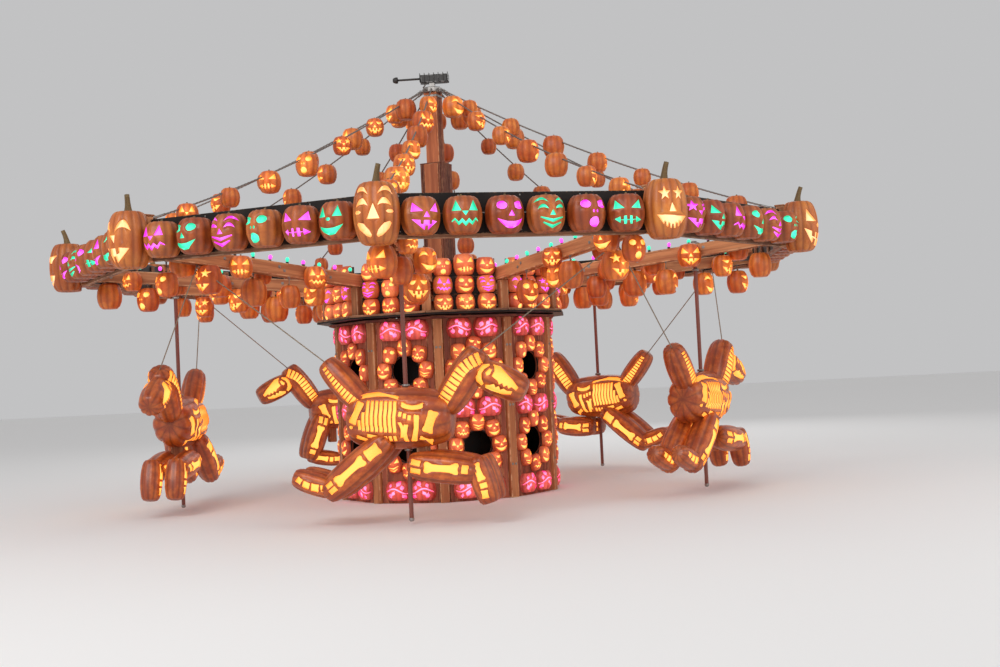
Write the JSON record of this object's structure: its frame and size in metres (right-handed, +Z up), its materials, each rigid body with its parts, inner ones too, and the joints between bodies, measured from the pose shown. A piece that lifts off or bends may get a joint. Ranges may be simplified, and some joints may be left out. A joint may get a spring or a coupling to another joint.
{
  "type": "fairground carousel",
  "caption": "Ten-sided carousel dressed with carved pumpkins: pumpkin horses on poles turn with a lit ring canopy round a fixed drum.",
  "frame": {"origin": "on the ground at the turning axis, under the middle of the drum", "axes": "+Z up along the turning axis, -Y towards the side that the picture shows, +X to that side's right"},
  "size_m": [8.2386, 8.3256, 4.7504],
  "materials": {
    "drum_panel": "stained boards, satin",
    "timber": "sawn softwood, dull",
    "black_board": "black paint, satin",
    "carved_shell": "carved orange shell, satin",
    "pumpkin_skin": "ribbed orange skin, satin",
    "stalk": "dry ribbed stalk, dull",
    "warm_glow": "lit inner shell",
    "magenta_glow": "lit inner shell",
    "green_glow": "lit inner shell",
    "lamp_glass": "small coloured lamps, gloss",
    "painted_pole": "red-brown paint, satin",
    "steel_cable": "stranded steel, dull",
    "steel": "greased steel",
    "lamp_housing": "black paint, matt"
  },
  "bodies": {
    "base": {"drum_bay_01": "drum_panel", "drum_bay_02": "drum_panel", "drum_bay_03": "drum_panel", "drum_bay_04": "drum_panel", "drum_bay_05": "drum_panel", "drum_bay_06": "drum_panel", "drum_bay_07": "drum_panel", "drum_bay_08": "drum_panel", "drum_bay_09": "drum_panel", "drum_bay_10": "drum_panel", "drum_lid": "drum_panel", "centre_post": "timber", "turntable_bearing": "steel"},
    "canopy": {"mast": "timber", "mast_head": "lamp_housing", "arm_01": "timber", "arm_02": "timber", "arm_03": "timber", "arm_04": "timber", "arm_05": "timber", "arm_06": "timber", "arm_07": "timber", "arm_08": "timber", "arm_09": "timber", "arm_10": "timber", "fascia_01": "black_board", "fascia_02": "black_board", "fascia_03": "black_board", "fascia_04": "black_board", "fascia_05": "black_board", "fascia_06": "black_board", "fascia_07": "black_board", "fascia_08": "black_board", "fascia_09": "black_board", "fascia_10": "black_board", "roof_cable_01": "steel_cable", "roof_cable_02": "steel_cable", "roof_cable_03": "steel_cable", "roof_cable_04": "steel_cable", "roof_cable_05": "steel_cable", "roof_cable_06": "steel_cable", "roof_cable_07": "steel_cable", "roof_cable_08": "steel_cable", "roof_cable_09": "steel_cable", "roof_cable_10": "steel_cable", "crown_tray_01": "black_board", "crown_tray_02": "black_board", "crown_tray_03": "black_board", "crown_tray_04": "black_board", "crown_tray_05": "black_board", "horse_pole_1": "painted_pole", "horse_pole_2": "painted_pole", "horse_pole_3": "painted_pole", "horse_pole_4": "painted_pole", "horse_pole_5": "painted_pole", "horse_1": "carved_shell", "horse_2": "carved_shell", "horse_3": "carved_shell", "horse_4": "carved_shell", "horse_5": "carved_shell"}
  },
  "joints": [
    {"name": "canopy_turn", "type": "hinge", "parent": "base", "child": "canopy", "pos_m": [0, 0, 1.941], "axis": [0, 0, 1], "continuous": true}
  ]
}
